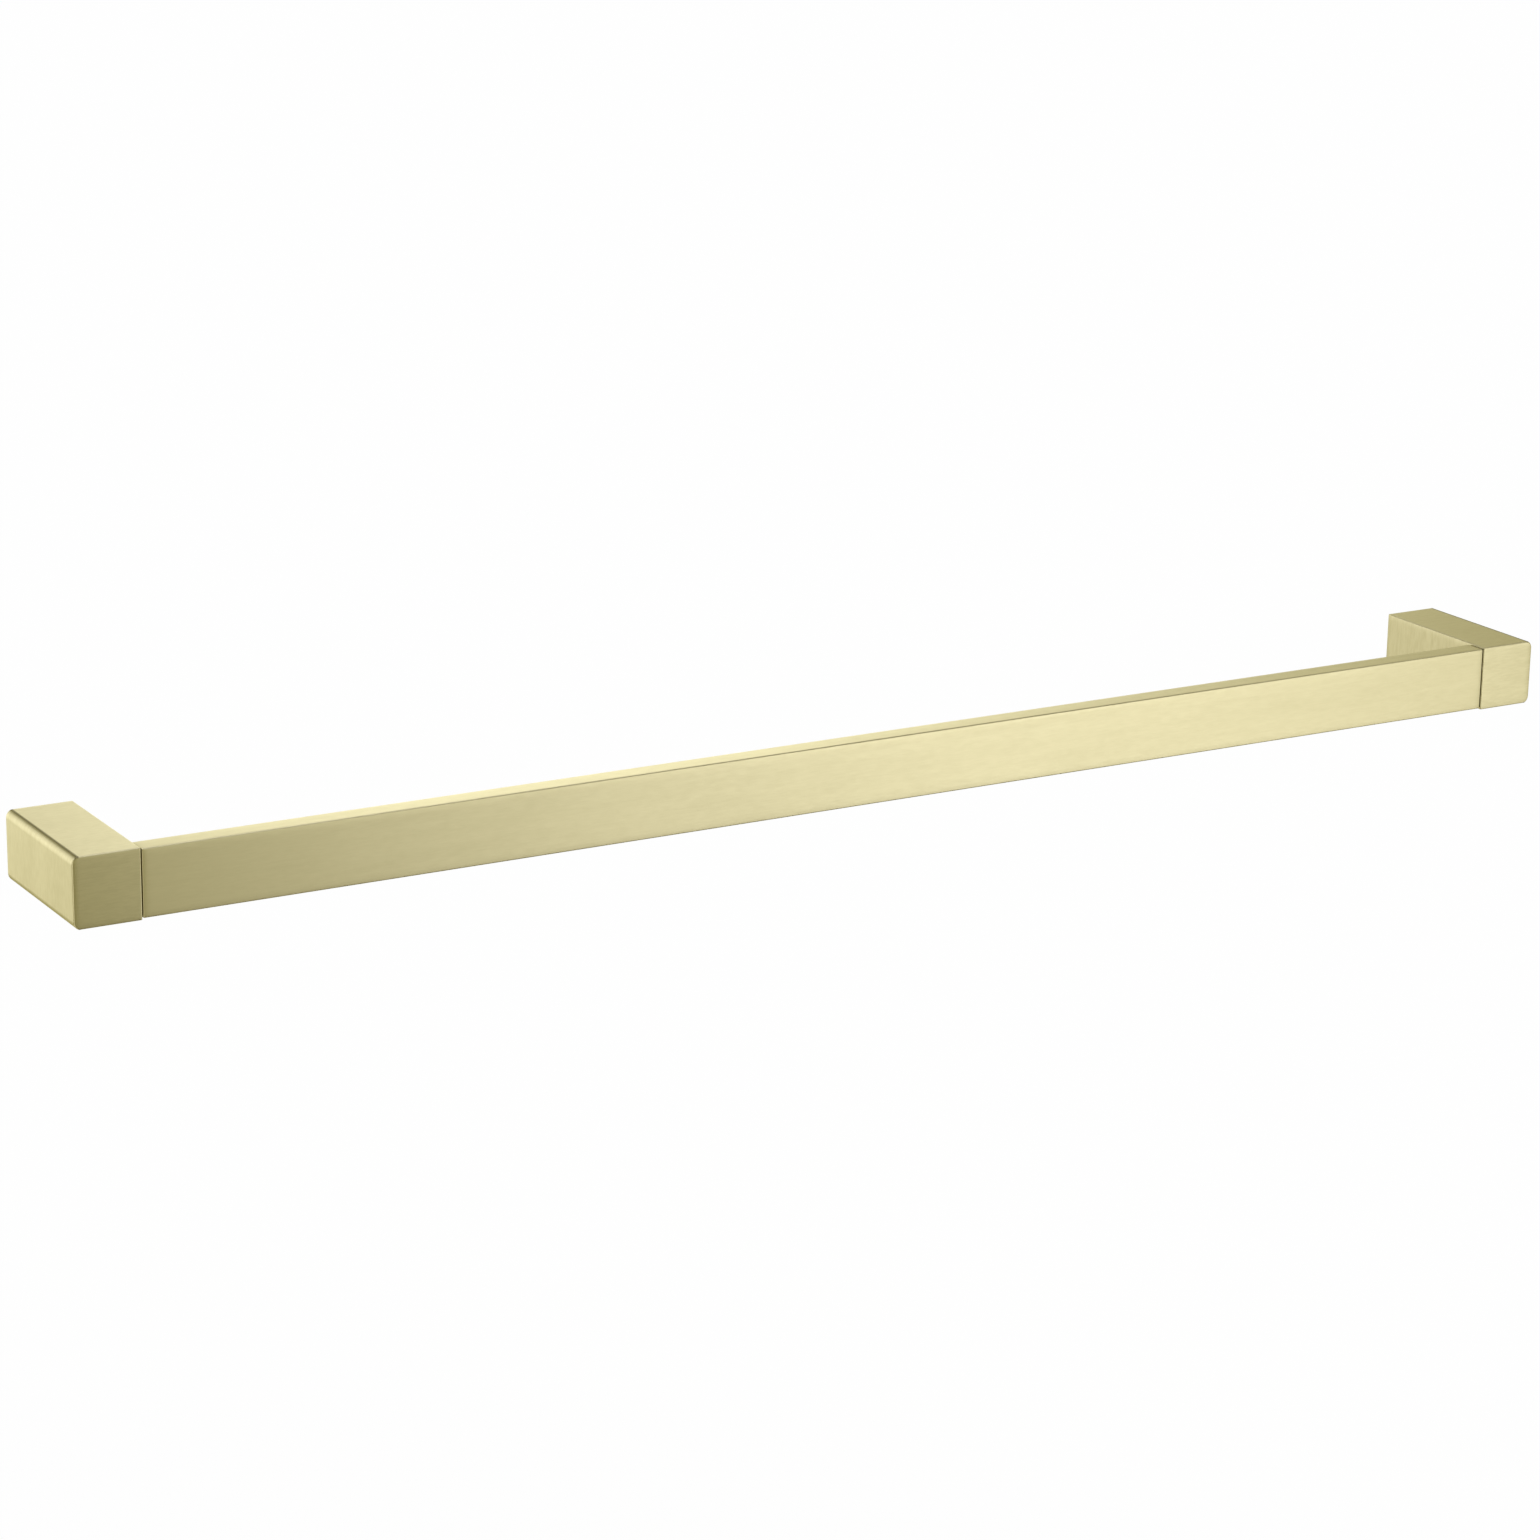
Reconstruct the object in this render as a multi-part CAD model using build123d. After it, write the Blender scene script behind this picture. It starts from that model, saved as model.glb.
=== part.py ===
from build123d import *
import os
from math import acos, sin, cos

# Millimetres. X runs along the bar, the wall is the plane Y = 0, the front faces -Y, Z is up.
# The origin is on the wall plane, midway between the posts and at half their height.

# posts
rail_length = 610.0        # over the outsides of both posts
post_width = 24.0          # along the bar
post_height = 25.0
post_depth = 60.0          # from the wall to the front face
outer_round = 3.0          # radius along the outer top and bottom edges
round_inset = 1.85         # how far that radius runs in over the flat top
edge_break = 0.4           # small rounding of the other outside edges
post_wall = 3.0
front_block = 16.0         # solid front of the post, the rest is hollow
cavity_corner = 1.0

# bar
bar_height = 24.0
bar_thickness = 8.5
bar_setback = 0.25         # bar front behind the post fronts
bar_wall = 1.5
bar_corner = 0.4
bar_bore_corner = 0.6
reveal = 0.5               # shadow line between bar and post
bar_end_break = 0.15

# end plugs
plug_length = 22.0         # inside the bar
collar_inset = 0.9         # collar edge behind the bar's outside
tongue_height = 16.0
tongue_thickness = 5.0
tongue_length = 12.0       # inside the post
tongue_corner = 1.0
tongue_room = 0.5          # space past the tongue's end
plug_lead = 0.5            # chamfer on both ends
push_fit = 0.05            # clearance of parts that touch or press
slide_fit = 0.1            # clearance of the tongue in its mortise

# screw that locks the tongue, driven from the hollow
lock_thread = 5.0
lock_length = 8.0
lock_inset = 6.5           # from the post's inner face
lock_socket = 2.5          # across flats
lock_socket_depth = 3.0
lock_tip_width = 4.0
seat_depth = 0.4           # flat seat sunk in the tongue
seat_margin = 0.3

# wall bracket, a folded strip
sheet = 2.0
bend_inside = 1.0
leg_length = 18.0
leg_corner = 2.5
bracket_side_room = 0.2    # beside the rounded corners of the hollow
bracket_bottom_room = 0.5
wall_slot_width = 5.5
wall_slot_length = 11.0

# cone-point screw through the underside of each post
grub_thread = 4.0
grub_length = 4.0
grub_from_wall = 11.0
grub_tip_length = 1.6
grub_tip_width = 0.8
grub_socket = 2.0
grub_socket_depth = 1.6
grub_hole = 3.2            # in the bracket's lower leg
thread_fit = 0.05          # screw surface inside its tapped hole
mouth_chamfer = 0.4        # at tapped holes

half_length = rail_length / 2
half_height = post_height / 2
post_inner_x = half_length - post_width
post_centre_x = half_length - post_width / 2
bar_end_x = post_inner_x - reveal
bar_y = -post_depth + bar_setback + bar_thickness / 2
cavity_depth = post_depth - front_block
cavity_width = post_width - 2 * post_wall
cavity_height = post_height - 2 * post_wall
ceiling = half_height - post_wall
tongue_back_y = bar_y + tongue_thickness / 2
lock_x = post_inner_x + lock_inset
bracket_top = ceiling - push_fit
bracket_bottom = -ceiling + bracket_bottom_room


# the right-hand pieces are drawn first and the left-hand ones are their mirror images

def across(x, y):
    # plane square to the bar, facing +X, with its own x along Y
    return Plane(origin=(x, y, 0), x_dir=(0, 1, 0), z_dir=(1, 0, 0))


def drilled_y(x, y_start, z, diameter, length):
    # round bar that starts at y_start and runs away from the wall
    start = Plane(origin=(x, y_start, z), x_dir=(1, 0, 0), z_dir=(0, -1, 0))
    return extrude(start * Circle(diameter / 2), amount=length)


def mouth_cone(plane, diameter):
    # countersink that opens at the given plane and narrows against its normal
    from_plane = (Align.CENTER, Align.CENTER, Align.MAX)
    return plane * Cone(diameter / 2, diameter / 2 + mouth_chamfer, mouth_chamfer, align=from_plane)


def post_outline():
    sweep = acos(1 - round_inset / outer_round)
    drop = outer_round * sin(sweep)
    turn_x = half_length - outer_round
    turn_z = half_height - drop
    mid_x = turn_x + outer_round * cos(sweep / 2)
    mid_z = turn_z + outer_round * sin(sweep / 2)
    crease_x = half_length - round_inset
    with BuildSketch(Plane.XZ) as outline:
        with BuildLine():
            Line((post_inner_x, -half_height), (post_inner_x, half_height))
            Line((post_inner_x, half_height), (crease_x, half_height))
            ThreePointArc((crease_x, half_height), (mid_x, mid_z), (half_length, turn_z))
            Line((half_length, turn_z), (half_length, -turn_z))
            ThreePointArc((half_length, -turn_z), (mid_x, -mid_z), (crease_x, -half_height))
            Line((crease_x, -half_height), (post_inner_x, -half_height))
        make_face()
    return outline.sketch


def tongue_block(length, room):
    section = RectangleRounded(tongue_thickness + 2 * room, tongue_height + 2 * room, tongue_corner + room)
    return extrude(across(post_inner_x, bar_y) * section, amount=length)


def post():
    body = extrude(post_outline(), amount=post_depth)
    front_edges = body.edges().group_by(Axis.Y)[0]
    inner_edges = body.edges().filter_by(Axis.Y).group_by(Axis.X)[0]
    body = fillet(front_edges + inner_edges, edge_break)
    hollow = Plane.XZ * Pos(post_centre_x, 0) * RectangleRounded(cavity_width, cavity_height, cavity_corner)
    body -= extrude(hollow, amount=cavity_depth)
    body -= tongue_block(tongue_length + tongue_room, slide_fit)
    lock_run = -cavity_depth - tongue_back_y
    body -= drilled_y(lock_x, -cavity_depth, 0, lock_thread, lock_run)
    floor_plane = Plane(origin=(lock_x, -cavity_depth, 0), x_dir=(1, 0, 0), z_dir=(0, 1, 0))
    body -= mouth_cone(floor_plane, lock_thread)
    grub_mouth = (post_centre_x, -grub_from_wall, -half_height)
    underside = Plane(origin=grub_mouth, x_dir=(1, 0, 0), z_dir=(0, 0, -1))
    body -= extrude(underside * Circle(grub_thread / 2), amount=-post_wall)
    body -= mouth_cone(underside, grub_thread)
    return body


def rail_bar():
    outside = RectangleRounded(bar_thickness, bar_height, bar_corner)
    inside = RectangleRounded(bar_thickness - 2 * bar_wall, bar_height - 2 * bar_wall, bar_bore_corner)
    tube = extrude(across(-bar_end_x, bar_y) * outside, amount=2 * bar_end_x)
    ends = tube.edges().group_by(Axis.X)
    tube = chamfer(ends[0] + ends[-1], bar_end_break)
    return tube - extrude(across(-bar_end_x, bar_y) * inside, amount=2 * bar_end_x)


def end_plug():
    core_thickness = bar_thickness - 2 * bar_wall - 2 * push_fit
    core_height = bar_height - 2 * bar_wall - 2 * push_fit
    core = RectangleRounded(core_thickness, core_height, bar_bore_corner)
    body = extrude(across(bar_end_x, bar_y) * core, amount=-plug_length)
    body = chamfer(body.edges().group_by(Axis.X)[0], plug_lead)
    tongue = tongue_block(tongue_length, 0)
    tongue = chamfer(tongue.edges().group_by(Axis.X)[-1], plug_lead)
    collar = Rectangle(bar_thickness - 2 * collar_inset, bar_height - 2 * collar_inset)
    body += extrude(across(bar_end_x, bar_y) * collar, amount=reveal)
    body += tongue
    return body - drilled_y(lock_x, tongue_back_y, 0, lock_thread + 2 * seat_margin, seat_depth)


def set_screw(thread, length, socket, depth, tip_length, tip_width):
    # stands on its driven end at Z = 0, point upwards, with a hexagon socket of that depth
    radius = thread / 2 - thread_fit
    shank = extrude(Circle(radius), amount=length - tip_length)
    shank = chamfer(shank.edges().group_by(Axis.Z)[0], mouth_chamfer)
    point = loft([Pos(0, 0, length - tip_length) * Circle(radius), Pos(0, 0, length) * Circle(tip_width / 2)])
    return shank + point - extrude(RegularPolygon(socket / 2, 6, major_radius=False), amount=depth)


def lock_screw():
    tip = {"tip_length": mouth_chamfer, "tip_width": lock_tip_width}
    screw = set_screw(lock_thread, lock_length, lock_socket, lock_socket_depth, **tip)
    tip_y = tongue_back_y - seat_depth + push_fit
    driven_end = Plane(origin=(lock_x, tip_y + lock_length, 0), x_dir=(1, 0, 0), z_dir=(0, -1, 0))
    return driven_end * screw


def grub_screw():
    radius = grub_thread / 2 - thread_fit
    tip = {"tip_length": grub_tip_length, "tip_width": grub_tip_width}
    screw = set_screw(grub_thread, grub_length, grub_socket, grub_socket_depth, **tip)
    slope = grub_tip_length / (radius - grub_tip_width / 2)
    shank_top = bracket_bottom - slope * (radius - grub_hole / 2) - push_fit
    return Pos(post_centre_x, -grub_from_wall, shank_top - grub_length + grub_tip_length) * screw


def wall_bracket():
    width = cavity_width - 2 * (cavity_corner + bracket_side_room)
    height = bracket_top - bracket_bottom
    middle = (bracket_top + bracket_bottom) / 2
    strip = Pos(post_centre_x, -leg_length / 2, middle) * Box(width, leg_length, height)
    strip = fillet(strip.edges().filter_by(Axis.X).group_by(Axis.Y)[-1], bend_inside + sheet)
    room_depth = leg_length - sheet
    room = Pos(post_centre_x, -sheet - room_depth / 2, middle) * Box(width, room_depth, height - 2 * sheet)
    room = fillet(room.edges().filter_by(Axis.X).group_by(Axis.Y)[-1], bend_inside)
    strip -= room
    strip = fillet(strip.edges().filter_by(Axis.Z).group_by(Axis.Y)[0], leg_corner)
    slot = Plane.XZ * Pos(post_centre_x, 0) * SlotOverall(wall_slot_length, wall_slot_width)
    strip -= extrude(slot, amount=sheet)
    lower_leg = Plane(origin=(post_centre_x, -grub_from_wall, bracket_bottom))
    return strip - extrude(lower_leg * Circle(grub_hole / 2), amount=sheet)


def save(node, shape):
    shape.label = node
    export_step(shape, os.path.join("parts", node + ".step"))


os.makedirs("parts", exist_ok=True)
save("rail_bar", rail_bar())
pairs = {
    "post": post(),
    "bar_end_plug": end_plug(),
    "tongue_lock_screw": lock_screw(),
    "wall_bracket": wall_bracket(),
    "post_grub_screw": grub_screw(),
}
for name, right_piece in pairs.items():
    save("right_" + name, right_piece)
    save("left_" + name, mirror(right_piece, about=Plane.YZ))
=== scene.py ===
from math import cos, pi, radians, sin

import bmesh
import bpy
from mathutils import Matrix, Vector


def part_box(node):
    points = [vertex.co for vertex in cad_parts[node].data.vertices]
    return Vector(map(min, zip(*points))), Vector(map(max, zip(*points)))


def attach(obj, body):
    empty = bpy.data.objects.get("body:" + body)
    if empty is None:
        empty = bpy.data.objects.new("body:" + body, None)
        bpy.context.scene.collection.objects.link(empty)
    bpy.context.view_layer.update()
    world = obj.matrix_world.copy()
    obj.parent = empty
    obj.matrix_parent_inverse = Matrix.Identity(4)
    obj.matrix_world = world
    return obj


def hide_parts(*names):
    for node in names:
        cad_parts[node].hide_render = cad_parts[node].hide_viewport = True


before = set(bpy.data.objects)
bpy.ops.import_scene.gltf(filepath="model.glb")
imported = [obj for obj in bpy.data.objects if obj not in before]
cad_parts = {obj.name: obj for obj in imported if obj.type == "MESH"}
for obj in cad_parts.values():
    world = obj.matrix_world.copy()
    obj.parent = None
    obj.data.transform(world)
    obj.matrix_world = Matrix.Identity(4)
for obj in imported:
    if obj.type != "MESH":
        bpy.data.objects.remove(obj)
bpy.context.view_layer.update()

sides = ("left", "right")
print("frame loaded, nodes:", len(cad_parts))


def addNode(tree, kind, inputs=None, **settings):
    made = tree.nodes.new(kind)
    for key, value in settings.items():
        setattr(made, key, value)
    for key, value in (inputs or {}).items():
        if isinstance(value, bpy.types.NodeSocket):
            tree.links.new(value, made.inputs[key])
        else:
            made.inputs[key].default_value = value
    return made


def calc(tree, operation, first, second=0.0):
    return addNode(tree, "ShaderNodeMath", {0: first, 1: second}, operation=operation).outputs[0]


def vectorCalc(tree, operation, first, second=(0, 0, 0)):
    made = addNode(tree, "ShaderNodeVectorMath", {0: first, 1: second}, operation=operation)
    return made.outputs["Value" if operation == "DISTANCE" else "Vector"]


def mapRange(tree, value, low, high, toLow=0.0, toHigh=1.0, step="LINEAR"):
    inputs = {"Value": value, "From Min": low, "From Max": high, "To Min": toLow, "To Max": toHigh}
    return addNode(tree, "ShaderNodeMapRange", inputs, interpolation_type=step).outputs["Result"]


# numbers of the Mix node's two inputs and its output for each kind of value
mixSockets = {"FLOAT": (2, 3, 0), "VECTOR": (4, 5, 1), "RGBA": (6, 7, 2)}


def mix(tree, kind, factor, first, second):
    start, end, result = mixSockets[kind]
    inputs = {"Factor": factor, start: first, end: second}
    return addNode(tree, "ShaderNodeMix", inputs, data_type=kind).outputs[result]


def splitXYZ(tree, vector):
    return addNode(tree, "ShaderNodeSeparateXYZ", {0: vector}).outputs


def newMaterial(name):
    made = bpy.data.materials.new(name)
    made.use_nodes = True
    made.node_tree.nodes.clear()
    return made, made.node_tree


def finishSurface(tree, shader):
    addNode(tree, "ShaderNodeOutputMaterial", {"Surface": shader})


def objectCoords(tree):
    return addNode(tree, "ShaderNodeTexCoord").outputs["Object"]


def surfaceNormal(tree):
    return addNode(tree, "ShaderNodeNewGeometry").outputs["Normal"]


grainSettings = {"detail": 3.0, "roughness": 0.6, "contrast": (0.35, 0.65)}


# noise drawn out along the brushing, cells per metre on each axis
def grain(tree, coords, perMetre, detail=grainSettings["detail"]):
    stretched = addNode(tree, "ShaderNodeMapping", {"Vector": coords, "Scale": perMetre})
    inputs = {
        "Vector": stretched.outputs["Vector"],
        "Scale": 1.0,
        "Detail": detail,
        "Roughness": grainSettings["roughness"],
    }
    return addNode(tree, "ShaderNodeTexNoise", inputs).outputs["Fac"]


# bare metal with marks that stand up by depth, in metres
def metalShader(tree, colour, roughness, marks, depth, normal=None, extra=None):
    bumpInputs = {"Strength": 1.0, "Distance": depth, "Height": marks}
    if normal is not None:
        bumpInputs["Normal"] = normal
    inputs = {
        "Base Color": colour,
        "Metallic": 1.0,
        "Roughness": roughness,
        "Normal": addNode(tree, "ShaderNodeBump", bumpInputs).outputs["Normal"],
    }
    inputs.update(extra or {})
    return addNode(tree, "ShaderNodeBsdfPrincipled", inputs).outputs["BSDF"]


# brushed pale gold plating on the bar and the posts
gold = {
    "bright": (0.878, 0.819, 0.586, 1),
    "dull": (0.834, 0.777, 0.545, 1),
    "edgeTint": (1.0, 0.985, 0.84, 1),
    "bar": {
        "shares": (0.55, 0.25, 0.20),  # of the layers below
        "contrast": (0.33, 0.67),      # strokes that are quite dull, quite bright
        "roughness": (0.335, 0.39),    # where bright, where dull
        "anisotropy": 0.46,
        "strokeDepth": 0.000006,       # metres
    },
    "post": {
        "shares": (0.70, 0.20, 0.10),
        "contrast": (0.41, 0.59),
        "roughness": (0.275, 0.315),
        "anisotropy": 0.80,
        "strokeDepth": 0.0000025,
    },
    "frontFacing": 0.7,            # a post's front is where the normal's Y is over this, either way
    "layers": [                    # cells per metre along and across the brushing, detail
        (240, 1700, 3.0),          # fine strokes, also the bump
        (8, 520, 2.0),             # broad strokes
        (20, 75, 2.0),             # clouds
    ],
    "rollReach": 0.003,            # polishing rolls the faces over this close to their edges
    "rollSlope": 0.07,
    "creaseInset": 0.0021,         # from a post's outer side to the dark line inside its crease
    "creaseReach": 0.0006,
    # painted shade: the near-black colour of the line in the posts' creases
    "creaseShadeColour": (0.11, 0.085, 0.015, 1),
}


# where = which axes lie across the strokes, as 0 or 1
def goldStrokes(tree, coords, where, shares):
    noises, parts = [], []
    for (along, across, detail), share in zip(gold["layers"], shares):
        noises.append(grain(tree, coords, [across if axis else along for axis in where], detail))
        parts.append(calc(tree, "MULTIPLY", noises[-1], share))
    total = parts[0]
    for part in parts[1:]:
        total = calc(tree, "ADD", total, part)
    return noises[0], total


# the polished normal, leaning outwards near the ends of a box that mirrors itself in X and Z
def rolledNormal(tree, coords, normal, low, high):
    centre = Vector((0, (low.y + high.y) / 2, 0))
    reach = Vector([gold["rollReach"]] * 3)
    slope = [gold["rollSlope"]] * 3
    offset = vectorCalc(tree, "SUBTRACT", coords, centre)
    past = vectorCalc(tree, "SUBTRACT", vectorCalc(tree, "ABSOLUTE", offset), high - centre - reach)
    share = vectorCalc(tree, "DIVIDE", vectorCalc(tree, "MAXIMUM", past), reach)
    lean = vectorCalc(tree, "MULTIPLY", vectorCalc(tree, "MULTIPLY", share, share), slope)
    outwards = vectorCalc(tree, "MULTIPLY", lean, vectorCalc(tree, "SIGN", offset))
    return vectorCalc(tree, "NORMALIZE", vectorCalc(tree, "ADD", normal, outwards))


# 1 on the painted shade lines beside the posts' creases, and 0 away from them
def paintedCreaseShade(tree, coords, high):
    place = vectorCalc(tree, "MULTIPLY", vectorCalc(tree, "ABSOLUTE", coords), (1, 0, 1))
    crease = (high.x - gold["creaseInset"], 0, high.z)
    away = vectorCalc(tree, "DISTANCE", place, crease)
    return mapRange(tree, away, 0.0, gold["creaseReach"], 1.0, 0.0)


def goldShader(tree, fine, strokes, normal, tangent, brushing, dark=None):
    bright = mapRange(tree, strokes, *brushing["contrast"])
    colour = mix(tree, "RGBA", bright, gold["dull"], gold["bright"])
    # painted shade: the colour darkens along the posts' creases
    if dark is not None:
        colour = mix(tree, "RGBA", dark, colour, gold["creaseShadeColour"])
    brightRough, dullRough = brushing["roughness"]
    roughness = mix(tree, "FLOAT", bright, dullRough, brightRough)
    extra = {
        "Specular Tint": gold["edgeTint"],
        "Anisotropic": brushing["anisotropy"],
        "Tangent": tangent,
    }
    return metalShader(tree, colour, roughness, fine, brushing["strokeDepth"], normal, extra)


def goldAlongBar():
    material, tree = newMaterial("goldBrushedAlongBar")
    coords, normal = objectCoords(tree), surfaceNormal(tree)
    fine, strokes = goldStrokes(tree, coords, (0, 1, 1), gold["bar"]["shares"])
    tangent = vectorCalc(tree, "CROSS_PRODUCT", normal, (1, 0, 0))
    rolled = rolledNormal(tree, coords, normal, *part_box("rail_bar"))
    finishSurface(tree, goldShader(tree, fine, strokes, rolled, tangent, gold["bar"]))
    return material


# unbrushed brass inside the hollow of a post, its limits just past the hollow's walls
hollow = {
    "depth": 0.0445,               # from the wall, metres
    "halfHeight": 0.0098,
    "outwards": (0.2835, 0.3025),  # distance from mid-span
    "colours": ((0.46, 0.36, 0.15, 1), (0.60, 0.49, 0.23, 1)),
    "roughness": 0.5,
    "marks": (60, 900, 60),        # cutter marks per metre
    "markDepth": 0.00002,
}


def insideHollow(tree, coords):
    place = splitXYZ(tree, coords)
    outwards = calc(tree, "ABSOLUTE", place["X"])
    height = calc(tree, "ABSOLUTE", place["Z"])
    inner, outer = hollow["outwards"]
    limits = (
        ("GREATER_THAN", outwards, inner),
        ("LESS_THAN", outwards, outer),
        ("LESS_THAN", height, hollow["halfHeight"]),
    )
    inside = calc(tree, "GREATER_THAN", place["Y"], -hollow["depth"])
    for operation, value, limit in limits:
        inside = calc(tree, "MULTIPLY", inside, calc(tree, operation, value, limit))
    return inside


def hollowShader(tree, coords):
    marks = grain(tree, coords, hollow["marks"])
    shade = mapRange(tree, marks, *grainSettings["contrast"])
    colour = mix(tree, "RGBA", shade, *hollow["colours"])
    return metalShader(tree, colour, hollow["roughness"], marks, hollow["markDepth"])


def goldRoundPost():
    material, tree = newMaterial("goldBrushedRoundPost")
    coords, normal = objectCoords(tree), surfaceNormal(tree)
    facing = calc(tree, "ABSOLUTE", splitXYZ(tree, normal)["Y"])
    onFront = calc(tree, "GREATER_THAN", facing, gold["frontFacing"])
    shares = gold["post"]["shares"]
    roundFine, roundStrokes = goldStrokes(tree, coords, (0, 1, 0), shares)
    frontFine, frontStrokes = goldStrokes(tree, coords, (0, 0, 1), shares)
    fine = mix(tree, "FLOAT", onFront, roundFine, frontFine)
    strokes = mix(tree, "FLOAT", onFront, roundStrokes, frontStrokes)
    tangent = mix(tree, "VECTOR", onFront, (0, 1, 0), (0, 0, 1))
    low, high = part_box("right_post")
    rolled = rolledNormal(tree, coords, normal, low, high)
    # painted shade along the creases of the posts
    dark = paintedCreaseShade(tree, coords, high)
    brushed = goldShader(tree, fine, strokes, rolled, tangent, gold["post"], dark)
    inputs = {0: insideHollow(tree, coords), 1: brushed, 2: hollowShader(tree, coords)}
    finishSurface(tree, addNode(tree, "ShaderNodeMixShader", inputs).outputs["Shader"])
    return material


def dress(node, material):
    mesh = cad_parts[node].data
    mesh.materials.clear()
    mesh.materials.append(material)


dress("rail_bar", goldAlongBar())
postGold = goldRoundPost()
for side in sides:
    dress(side + "_post", postGold)
print("brushed gold on bar and posts")


# brass plugs in the bar's ends, darkened to near black as a painted shadow line in the joint with
# the post
plugShadowPaint = {
    "material": "brassPlugPaintedShadow",
    # painted shadow: near-black colours stand in for the shade inside the joint
    "colours": ((0.06, 0.045, 0.02, 1), (0.10, 0.078, 0.036, 1)),
    "roughness": (0.42, 0.55),
    "marks": (2200, 60, 60),       # cutter marks per metre
    "markDepth": 0.000008,
}

# cold-rolled stainless strip of the wall brackets
bracketStrip = {
    "material": "rolledSteelBracket",
    "colours": ((0.50, 0.50, 0.49, 1), (0.62, 0.61, 0.59, 1)),
    "roughness": (0.30, 0.42),
    "marks": (40, 1700, 1700),     # roll marks per metre
    "markDepth": 0.000006,
}

# blackened steel of the set screws
screwSteel = {
    "material": "blackenedSetScrew",
    "colours": ((0.028, 0.027, 0.027, 1), (0.075, 0.072, 0.070, 1)),
    "roughness": (0.36, 0.55),
    "marks": (900, 900, 900),      # blotches per metre
    "markDepth": 0.000004,
}


def metalFinish(settings):
    material, tree = newMaterial(settings["material"])
    noise = grain(tree, objectCoords(tree), settings["marks"])
    marks = mapRange(tree, noise, *grainSettings["contrast"])
    colour = mix(tree, "RGBA", marks, *settings["colours"])
    smooth, rough = settings["roughness"]
    roughness = mix(tree, "FLOAT", marks, rough, smooth)
    finishSurface(tree, metalShader(tree, colour, roughness, marks, settings["markDepth"]))
    return material


brass = metalFinish(plugShadowPaint)
steel = metalFinish(bracketStrip)
blackened = metalFinish(screwSteel)
for side in sides:
    # plugs painted dark as the joint's shadow
    dress(side + "_bar_end_plug", brass)
    dress(side + "_wall_bracket", steel)
print("brass plugs and steel brackets")


# set screws with helical threads and hexagon sockets, sizes in metres
lockScrews = {
    "name": "tongueLockScrews",
    "node": "tongue_lock_screw",
    "axis": 1,
    "drivenCorner": 1,             # driven end to the wall, at the high corner of the node's box
    "turn": (pi / 2, 0, 0),
    "sizes": {
        "Pitch": 0.0008,
        "Thread Depth": 0.00045,
        "Chamfer": 0.0004,
        "Tip Length": 0.0004,
        "Tip Radius": 0.0020,
        "Socket Width": 0.0025,
        "Socket Depth": 0.0030,
    },
}
grubScrews = {
    "name": "postGrubScrews",
    "node": "post_grub_screw",
    "axis": 2,
    "drivenCorner": 0,             # driven end downwards, at the low corner
    "turn": (0, 0, 0),
    "sizes": {
        "Pitch": 0.0007,
        "Thread Depth": 0.00038,
        "Chamfer": 0.0004,
        "Tip Length": 0.0016,
        "Tip Radius": 0.0004,
        "Socket Width": 0.0020,
        "Socket Depth": 0.0016,
    },
}
screwMesh = {
    "around": 36,
    "rowsPerTurn": 10,
    "flank": (0.15, 0.85),         # where the thread's side begins and ends, from crest to root
    "drillCone": 0.0003,
    "weld": 1e-6,
}


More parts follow.
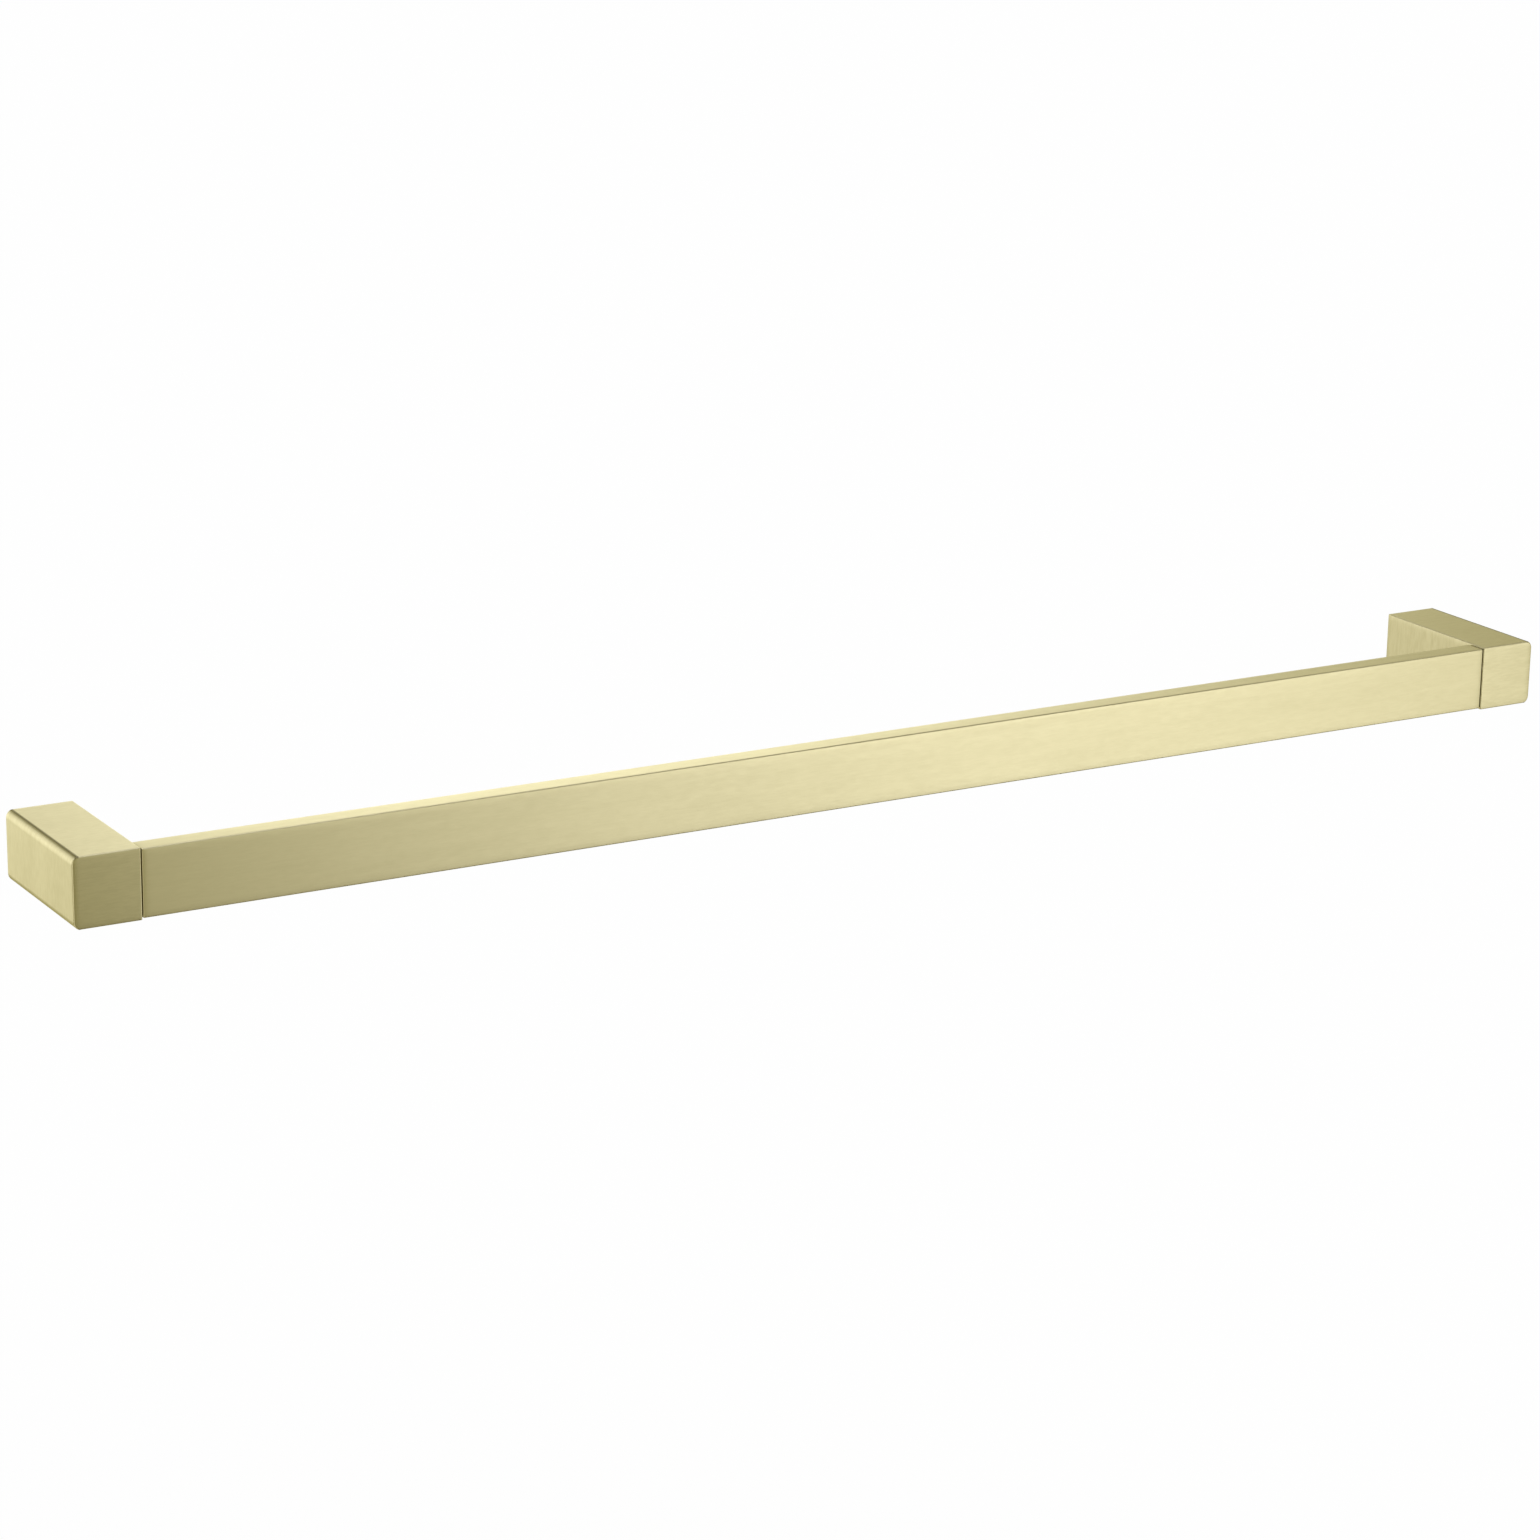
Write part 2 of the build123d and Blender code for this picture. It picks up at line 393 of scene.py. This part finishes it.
def screwTree():
    tree = bpy.data.node_groups.new("threadedSetScrew", "GeometryNodeTree")
    tree.interface.new_socket("Places", in_out="INPUT", socket_type="NodeSocketGeometry")
    for name in ("Radius", "Length", *lockScrews["sizes"]):
        tree.interface.new_socket(name, in_out="INPUT", socket_type="NodeSocketFloat")
    tree.interface.new_socket("Turn", in_out="INPUT", socket_type="NodeSocketVector")
    tree.interface.new_socket("Finish", in_out="INPUT", socket_type="NodeSocketMaterial")
    tree.interface.new_socket("Screws", in_out="OUTPUT", socket_type="NodeSocketGeometry")

    def op(operation, first, second=0.0):
        return calc(tree, operation, first, second)

    size = addNode(tree, "NodeGroupInput").outputs
    place = splitXYZ(tree, addNode(tree, "GeometryNodeInputPosition").outputs["Position"])
    roundShare = op("ADD", place["X"], 0.5)
    rowShare = op("ADD", place["Y"], 0.5)
    angle = op("MULTIPLY", roundShare, 2 * pi)

    # a flat sheet rolled round the screw's axis
    def turned(rows, radius, height):
        columns = screwMesh["around"] + 1
        inputs = {"Size X": 1.0, "Size Y": 1.0, "Vertices X": columns, "Vertices Y": rows}
        sheet = addNode(tree, "GeometryNodeMeshGrid", inputs).outputs["Mesh"]
        x = op("MULTIPLY", radius, op("COSINE", angle))
        y = op("MULTIPLY", radius, op("SINE", angle))
        point = addNode(tree, "ShaderNodeCombineXYZ", {0: x, 1: y, 2: height}).outputs["Vector"]
        inputs = {"Geometry": sheet, "Position": point}
        return addNode(tree, "GeometryNodeSetPosition", inputs).outputs["Geometry"]

    # each row of the shank climbs one pitch round the screw, so crests follow the rows
    pitch, length, radius = size["Pitch"], size["Length"], size["Radius"]
    turns = op("ADD", op("CEIL", op("DIVIDE", length, pitch)), 1.0)
    row = op("SUBTRACT", op("MULTIPLY", rowShare, turns), 1.0)
    climb = op("MULTIPLY", op("ADD", row, roundShare), pitch)
    height = op("MINIMUM", op("MAXIMUM", climb, 0.0), length)
    fromCrest = op("ABSOLUTE", op("SUBTRACT", op("MULTIPLY", op("FRACT", row), 2.0), 1.0))
    groove = op("MULTIPLY", mapRange(tree, fromCrest, *screwMesh["flank"]), size["Thread Depth"])
    groove = op("MULTIPLY", groove, mapRange(tree, height, 0.0, pitch))
    lastTurn = op("SUBTRACT", length, pitch)
    groove = op("MULTIPLY", groove, mapRange(tree, height, length, lastTurn))
    neckRadius = op("SUBTRACT", radius, size["Chamfer"])
    coneStart = op("SUBTRACT", length, size["Tip Length"])
    cone = mapRange(tree, height, coneStart, length, radius, size["Tip Radius"])
    shankRadius = op("MINIMUM", op("SUBTRACT", radius, groove), cone)
    shankRadius = op("MINIMUM", shankRadius, op("ADD", neckRadius, height))
    rows = op("ADD", op("MULTIPLY", turns, screwMesh["rowsPerTurn"]), 1.0)
    shank = turned(rows, shankRadius, height)

    # three steps make the driven end, from rim to socket mouth, socket floor and drill point
    steps, flats = 3, 6
    step = op("MULTIPLY", rowShare, steps)
    toMouth = mapRange(tree, step, 0.0, 1.0)
    toFloor = mapRange(tree, step, 1.0, 2.0)
    toPoint = mapRange(tree, step, 2.0, 3.0)
    fromFlat = op("SUBTRACT", op("FRACT", op("MULTIPLY", roundShare, flats)), 0.5)
    flatCosine = op("COSINE", op("MULTIPLY", fromFlat, 2 * pi / flats))
    hexagon = op("DIVIDE", op("MULTIPLY", size["Socket Width"], 0.5), flatCosine)
    mouthRadius = mix(tree, "FLOAT", toMouth, neckRadius, hexagon)
    socketRadius = mix(tree, "FLOAT", toPoint, mouthRadius, 0.0)
    socketHeight = op("MULTIPLY", toFloor, size["Socket Depth"])
    socketHeight = op("ADD", socketHeight, op("MULTIPLY", toPoint, screwMesh["drillCone"]))
    socket = turned(steps + 1, socketRadius, socketHeight)
    socket = addNode(tree, "GeometryNodeFlipFaces", {0: socket}).outputs[0]

    discInputs = {"Vertices": screwMesh["around"], "Radius": size["Tip Radius"]}
    disc = addNode(tree, "GeometryNodeMeshCircle", discInputs, fill_type="NGON").outputs["Mesh"]
    lift = addNode(tree, "ShaderNodeCombineXYZ", {2: length}).outputs["Vector"]
    inputs = {"Geometry": disc, "Translation": lift}
    tip = addNode(tree, "GeometryNodeTransform", inputs).outputs["Geometry"]

    joined = addNode(tree, "GeometryNodeJoinGeometry")
    for part in (shank, socket, tip):
        tree.links.new(part, joined.inputs[0])
    inputs = {"Geometry": joined.outputs[0], "Distance": screwMesh["weld"]}
    welded = addNode(tree, "GeometryNodeMergeByDistance", inputs).outputs[0]
    inputs = {"Geometry": welded, "Shade Smooth": False}
    flat = addNode(tree, "GeometryNodeSetShadeSmooth", inputs).outputs[0]
    inputs = {"Points": size["Places"], "Instance": flat, "Rotation": size["Turn"]}
    placed = addNode(tree, "GeometryNodeInstanceOnPoints", inputs).outputs["Instances"]
    real = addNode(tree, "GeometryNodeRealizeInstances", {"Geometry": placed}).outputs["Geometry"]
    inputs = {"Geometry": real, "Material": size["Finish"]}
    done = addNode(tree, "GeometryNodeSetMaterial", inputs).outputs["Geometry"]
    addNode(tree, "NodeGroupOutput", {"Screws": done})
    return tree


def makeScrews(tree, settings):
    nodes = [side + "_" + settings["node"] for side in sides]
    axis = settings["axis"]
    places = []
    for node in nodes:
        low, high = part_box(node)
        place = (low + high) / 2
        place[axis] = (low, high)[settings["drivenCorner"]][axis]
        places.append(place)
    mesh = bpy.data.meshes.new(settings["name"])
    mesh.from_pydata(places, [], [])
    screws = bpy.data.objects.new(settings["name"], mesh)
    bpy.context.scene.collection.objects.link(screws)
    values = {
        "Radius": (high.x - low.x) / 2,
        "Length": high[axis] - low[axis],
        "Turn": settings["turn"],
        "Finish": blackened,
    }
    values.update(settings["sizes"])
    modifier = screws.modifiers.new("thread", "NODES")
    modifier.node_group = tree
    for item in tree.interface.items_tree:
        if item.in_out == "INPUT" and item.name in values:
            modifier[item.identifier] = values[item.name]
    evaluated = screws.evaluated_get(bpy.context.evaluated_depsgraph_get())
    solid = bpy.data.meshes.new_from_object(evaluated)
    screws.modifiers.clear()
    screws.data = solid
    solid.name = settings["name"]
    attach(screws, "root")
    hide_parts(*nodes)
    print(settings["name"], "faces:", len(solid.polygons))


threadTree = screwTree()
for settings in (lockScrews, grubScrews):
    makeScrews(threadTree, settings)


# studio: pale floor, round light tent, card below, white surroundings
studio = {
    "white": (1, 1, 1, 1),
    "worldLevel": 0.6,             # strength as light, it is 1 where it is seen
    "floorZ": -0.9,
    "floorSize": 60.0,
    "floorPaint": (0.9, 0.9, 0.9, 1),
    "floorGlow": 0.985,            # share of white that the eye sees, the rest takes the shadow
    "tentRadius": 1.2,
    "tentTop": 1.6,
    "tentCentreY": -0.03,
    "tentSegments": 64,
    "tentBase": (0.228, 0.204, 0.043, 1),
    "tentFade": (0.45, 0.95, 0.3),  # height where the fabric starts to dim, is dim, and how dim
    "softboxes": [                 # wall angle in degrees, height, reach in metres, level
        (69.2, 0.37, 0.76, 1.63),
        (38, 0.35, 0.65, 0.32),
        (-56.4, -0.12, 0.81, 1.43),
        (128, 0.10, 0.78, 1.09),
        (122, -0.32, 0.60, 0.43),
        (114, 0.48, 0.36, 0.17),
        (-165, 0.10, 0.80, 0.60),
        (-138, -0.42, 0.72, 0.80),
        (47, -0.42, 0.60, 0.75),
        (-90, 0.70, 0.60, 1.00),
        (2, -0.22, 0.62, 0.60),
        (160, 1.00, 0.70, 0.90),
        (-10, 1.05, 0.70, 0.85),
    ],
    "ceilingPanel": (1.20, 1.70),  # reach, level
    "cardZ": -0.60,
    "cardInset": 0.02,             # from the tent's wall
    "cardDark": (0.05, 0.045, 0.02, 1),
    "cardPale": (0.50, 0.47, 0.30, 1),
    "cardSpot": (0.35, -0.85),     # X and Y of the middle of the dark part
    "cardReach": (0.55, 1.05),     # how far from there it is dark, is pale
}


def stageObject(name, shape, material):
    mesh = bpy.data.meshes.new(name)
    shape.to_mesh(mesh)
    shape.free()
    mesh.materials.append(material)
    made = bpy.data.objects.new(name, mesh)
    bpy.context.scene.collection.objects.link(made)
    return made


def seenDirectly(tree):
    light = addNode(tree, "ShaderNodeLightPath").outputs
    seen = calc(tree, "MAXIMUM", light["Is Camera Ray"], light["Is Glossy Ray"])
    return calc(tree, "MAXIMUM", seen, light["Is Transmission Ray"])


def glow(tree, colour, strength=1.0):
    inputs = {"Color": colour, "Strength": strength}
    return addNode(tree, "ShaderNodeEmission", inputs).outputs["Emission"]


def makeFloor():
    shape = bmesh.new()
    lie = Matrix.Translation((0, 0, studio["floorZ"]))
    bmesh.ops.create_grid(shape, size=studio["floorSize"] / 2, matrix=lie)
    material, tree = newMaterial("paleFloor")
    share = calc(tree, "MULTIPLY", seenDirectly(tree), studio["floorGlow"])
    paint = addNode(tree, "ShaderNodeBsdfDiffuse", {"Color": studio["floorPaint"]}).outputs["BSDF"]
    inputs = {0: share, 1: paint, 2: glow(tree, studio["white"])}
    finishSurface(tree, addNode(tree, "ShaderNodeMixShader", inputs).outputs["Shader"])
    stageObject("floor", shape, material)


def makeTent():
    bottom, top, radius = studio["floorZ"], studio["tentTop"], studio["tentRadius"]
    centreY, segments = studio["tentCentreY"], studio["tentSegments"]
    shape = bmesh.new()
    stand = Matrix.Translation((0, centreY, (top + bottom) / 2))
    bmesh.ops.create_cone(shape, cap_ends=True, segments=segments, radius1=radius, radius2=radius,
                          depth=top - bottom, matrix=stand)
    lowest = min(shape.faces, key=lambda face: face.calc_center_median().z)
    bmesh.ops.delete(shape, geom=[lowest], context="FACES")
    material, tree = newMaterial("tentFabric")
    coords = objectCoords(tree)

    def lightAt(centre, reach, level):
        away = vectorCalc(tree, "DISTANCE", coords, centre)
        return mapRange(tree, away, 0.0, reach, level, 0.0, "SMOOTHSTEP")

    boxes = lightAt((0, centreY, top), *studio["ceilingPanel"])
    for angle, height, reach, level in studio["softboxes"]:
        turn = radians(angle)
        centre = (radius * cos(turn), centreY + radius * sin(turn), height)
        boxes = calc(tree, "ADD", boxes, lightAt(centre, reach, level))
    start, end, dim = studio["tentFade"]
    fade = mapRange(tree, splitXYZ(tree, coords)["Z"], start, end, 1.0, dim, "SMOOTHSTEP")
    inputs = {0: glow(tree, studio["tentBase"], fade), 1: glow(tree, studio["white"], boxes)}
    finishSurface(tree, addNode(tree, "ShaderNodeAddShader", inputs).outputs["Shader"])
    stageObject("lightTent", shape, material).visible_camera = False


# only the metal sees this card, a ground that is dark in front and draws the lower edges
def makeDarkCard():
    shape = bmesh.new()
    lie = Matrix.Translation((0, studio["tentCentreY"], studio["cardZ"]))
    radius, segments = studio["tentRadius"] - studio["cardInset"], studio["tentSegments"]
    bmesh.ops.create_circle(shape, cap_ends=True, segments=segments, radius=radius, matrix=lie)
    material, tree = newMaterial("cardPaper")
    spot = (*studio["cardSpot"], studio["cardZ"])
    away = vectorCalc(tree, "DISTANCE", objectCoords(tree), spot)
    pale = mapRange(tree, away, *studio["cardReach"], step="SMOOTHSTEP")
    finishSurface(tree, glow(tree, mix(tree, "RGBA", pale, studio["cardDark"], studio["cardPale"])))
    card = stageObject("darkCard", shape, material)
    card.visible_camera = False
    card.visible_diffuse = False
    card.visible_shadow = False


def makeWorld():
    world = bpy.data.worlds.new("whiteStudio")
    bpy.context.scene.world = world
    world.use_nodes = True
    tree = world.node_tree
    tree.nodes.clear()
    strength = mapRange(tree, seenDirectly(tree), 0.0, 1.0, studio["worldLevel"], 1.0)
    inputs = {"Color": studio["white"], "Strength": strength}
    surroundings = addNode(tree, "ShaderNodeBackground", inputs).outputs["Background"]
    addNode(tree, "ShaderNodeOutputWorld", {"Surface": surroundings})


# camera, from a fit to the photograph's edges
shot = {
    "at": (-0.78576, -1.32167, 0.43809),
    "lookAt": (-0.02466, -0.03, -0.00358),
    "rollDegrees": 0.886,
    "lens": 100.57,
    "sensor": 36,
    "clip": (0.05, 100),
}


def makeCamera():
    data = bpy.data.cameras.new("camera")
    data.sensor_width = shot["sensor"]
    data.lens = shot["lens"]
    data.clip_start, data.clip_end = shot["clip"]
    camera = bpy.data.objects.new("camera", data)
    bpy.context.scene.collection.objects.link(camera)
    at = Vector(shot["at"])
    forward = (Vector(shot["lookAt"]) - at).normalized()
    level = forward.cross(Vector((0, 0, 1))).normalized()
    rise = level.cross(forward)
    roll = radians(shot["rollDegrees"])
    right = level * cos(roll) + rise * sin(roll)
    up = rise * cos(roll) - level * sin(roll)
    turn = Matrix((right, up, -forward)).transposed().to_4x4()
    camera.matrix_world = Matrix.Translation(at) @ turn
    bpy.context.scene.camera = camera


makeFloor()
makeTent()
makeDarkCard()
makeWorld()
makeCamera()
bpy.context.scene.view_settings.view_transform = "Standard"
print("studio and camera set")
